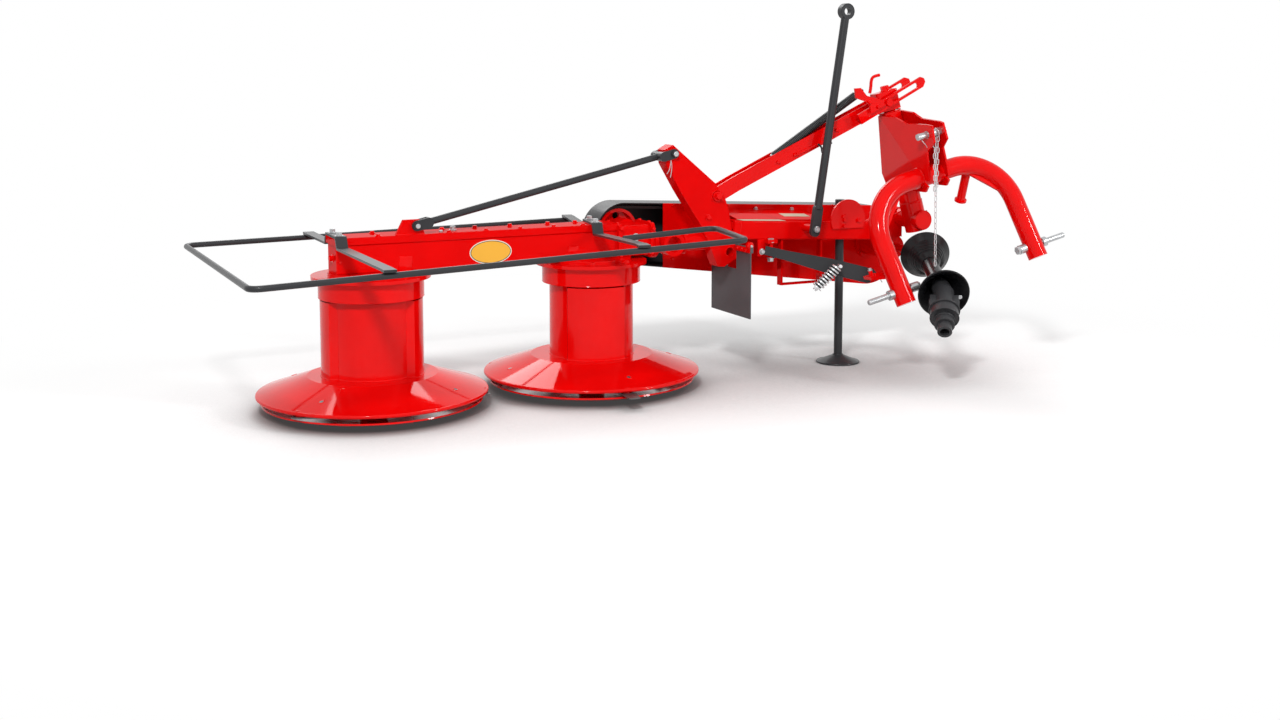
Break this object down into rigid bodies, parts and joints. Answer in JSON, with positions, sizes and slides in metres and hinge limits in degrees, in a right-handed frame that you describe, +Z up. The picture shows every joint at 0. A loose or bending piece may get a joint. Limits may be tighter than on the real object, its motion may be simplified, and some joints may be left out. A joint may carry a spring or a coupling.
{
  "type": "rear-mounted drum mower",
  "caption": "Rear-mounted drum mower with gear beam, skid dishes, belt drive, slotted lift arm, arched three-point headstock and support leg, parked on the ground.",
  "frame": {"origin": "floor level under the middle of the machine's overall box", "axes": "+X along the gear beam from the outer drum towards the headstock, -Y the way of travel, +Z up"},
  "size_m": [3.2269, 1.227, 1.4389],
  "materials": {
    "red_paint": "gloss",
    "black_paint": "satin",
    "zinc": "satin",
    "black_plastic": "satin",
    "spring_steel": "gloss",
    "black_spring": "satin",
    "dark_steel": "satin",
    "belt_rubber": "matte",
    "flap_rubber": "matte"
  },
  "bodies": {
    "frame": {"bar_bracket": "red_paint", "beam_cover": "red_paint", "belt_guard_panel": "red_paint", "belt_guard_tray": "black_paint", "breakaway_bar": "black_paint", "breakaway_spring": "spring_steel", "drive_belts": "belt_rubber", "flap": "flap_rubber", "frame_beam": "red_paint", "frame_end": "red_paint", "gear_beam": "red_paint", "gear_case": "red_paint", "guard_brackets": "red_paint", "guard_hoop": "black_paint", "inner_bearing_housing": "red_paint", "inner_hoop_strap": "black_paint", "input_housing": "red_paint", "leg_bracket": "red_paint", "link_housing": "red_paint", "outer_bearing_housing": "red_paint", "outer_hoop_strap": "black_paint", "rod_pin": "zinc", "strap_loop": "red_paint", "tie_rod": "black_paint", "top_shield": "red_paint", "upright": "red_paint"},
    "outer_drum": {"outer_drum_shell": "red_paint", "outer_cutting_disc": "red_paint", "outer_knives": "dark_steel"},
    "inner_drum": {"inner_drum_shell": "red_paint", "inner_cutting_disc": "red_paint", "inner_knives": "dark_steel"},
    "outer_dish": {"outer_skid_dish": "red_paint"},
    "inner_dish": {"inner_skid_dish": "red_paint"},
    "driven_wheel": {"driven_pulley": "red_paint"},
    "drive_wheel": {"drive_pulley": "dark_steel"},
    "pivot": {"pivot_block": "red_paint", "swivel_head": "red_paint"},
    "headstock": {"headstock_column": "red_paint", "arch_frame": "red_paint", "lower_hitch_pins": "zinc", "mast_plates": "red_paint", "top_link_pin": "zinc", "shaft_guard": "black_plastic", "shaft_joint": "dark_steel", "lift_chain": "zinc"},
    "arm": {"lift_arm": "red_paint", "slot_plates": "red_paint", "relief_spring": "black_spring", "latch_lever": "black_paint"},
    "rod": {"transport_rod": "black_paint"},
    "leg": {"support_leg": "black_paint"}
  },
  "joints": [
    {"name": "outer_drum_spin", "type": "hinge", "parent": "frame", "child": "outer_drum", "pos_m": [-1.0388, 0.146, 0.26], "axis": [0, 0, 1], "continuous": true},
    {"name": "inner_drum_spin", "type": "hinge", "parent": "frame", "child": "inner_drum", "pos_m": [-0.1948, 0.146, 0.26], "axis": [0, 0, 1], "continuous": true},
    {"name": "outer_dish_spin", "type": "hinge", "parent": "frame", "child": "outer_dish", "pos_m": [-1.0388, 0.146, 0.03], "axis": [0, 0, 1], "continuous": true},
    {"name": "inner_dish_spin", "type": "hinge", "parent": "frame", "child": "inner_dish", "pos_m": [-0.1948, 0.146, 0.03], "axis": [0, 0, 1], "continuous": true},
    {"name": "driven_pulley_spin", "type": "hinge", "parent": "frame", "child": "driven_wheel", "pos_m": [-0.0168, 0.314, 0.569], "axis": [0, 1, 0], "continuous": true},
    {"name": "drive_pulley_spin", "type": "hinge", "parent": "frame", "child": "drive_wheel", "pos_m": [1.1332, 0.314, 0.457], "axis": [0, 1, 0], "continuous": true},
    {"name": "headstock_tilt", "type": "hinge", "parent": "frame", "child": "pivot", "pos_m": [1.1522, -0.034, 0.584], "axis": [0, 1, 0], "range_deg": [0, 13.5]},
    {"name": "king_swing", "type": "hinge", "parent": "pivot", "child": "headstock", "pos_m": [1.1522, -0.034, 0.584], "axis": [-0.2326, 0.0872, 0.9687], "range_deg": [0, 90]},
    {"name": "lift_arm_hinge", "type": "hinge", "parent": "frame", "child": "arm", "pos_m": [0.2972, 0.096, 0.702], "axis": [0, 1, 0], "range_deg": [0, 2]},
    {"name": "transport_rod_hinge", "type": "hinge", "parent": "frame", "child": "rod", "pos_m": [0.6842, -0.026, 0.565], "axis": [0, 1, 0], "range_deg": [-75, 10]},
    {"name": "support_leg_slide", "type": "slide", "parent": "frame", "child": "leg", "axis": [0, 0, 1], "range_m": [0, 0.2]}
  ],
  "couplings": [
    {"joint": "inner_drum_spin", "follows": "outer_drum_spin", "ratio": -1},
    {"joint": "driven_pulley_spin", "follows": "outer_drum_spin", "ratio": 0.423},
    {"joint": "drive_pulley_spin", "follows": "outer_drum_spin", "ratio": 0.2644},
    {"joint": "lift_arm_hinge", "follows": "headstock_tilt", "ratio": 0.145}
  ]
}
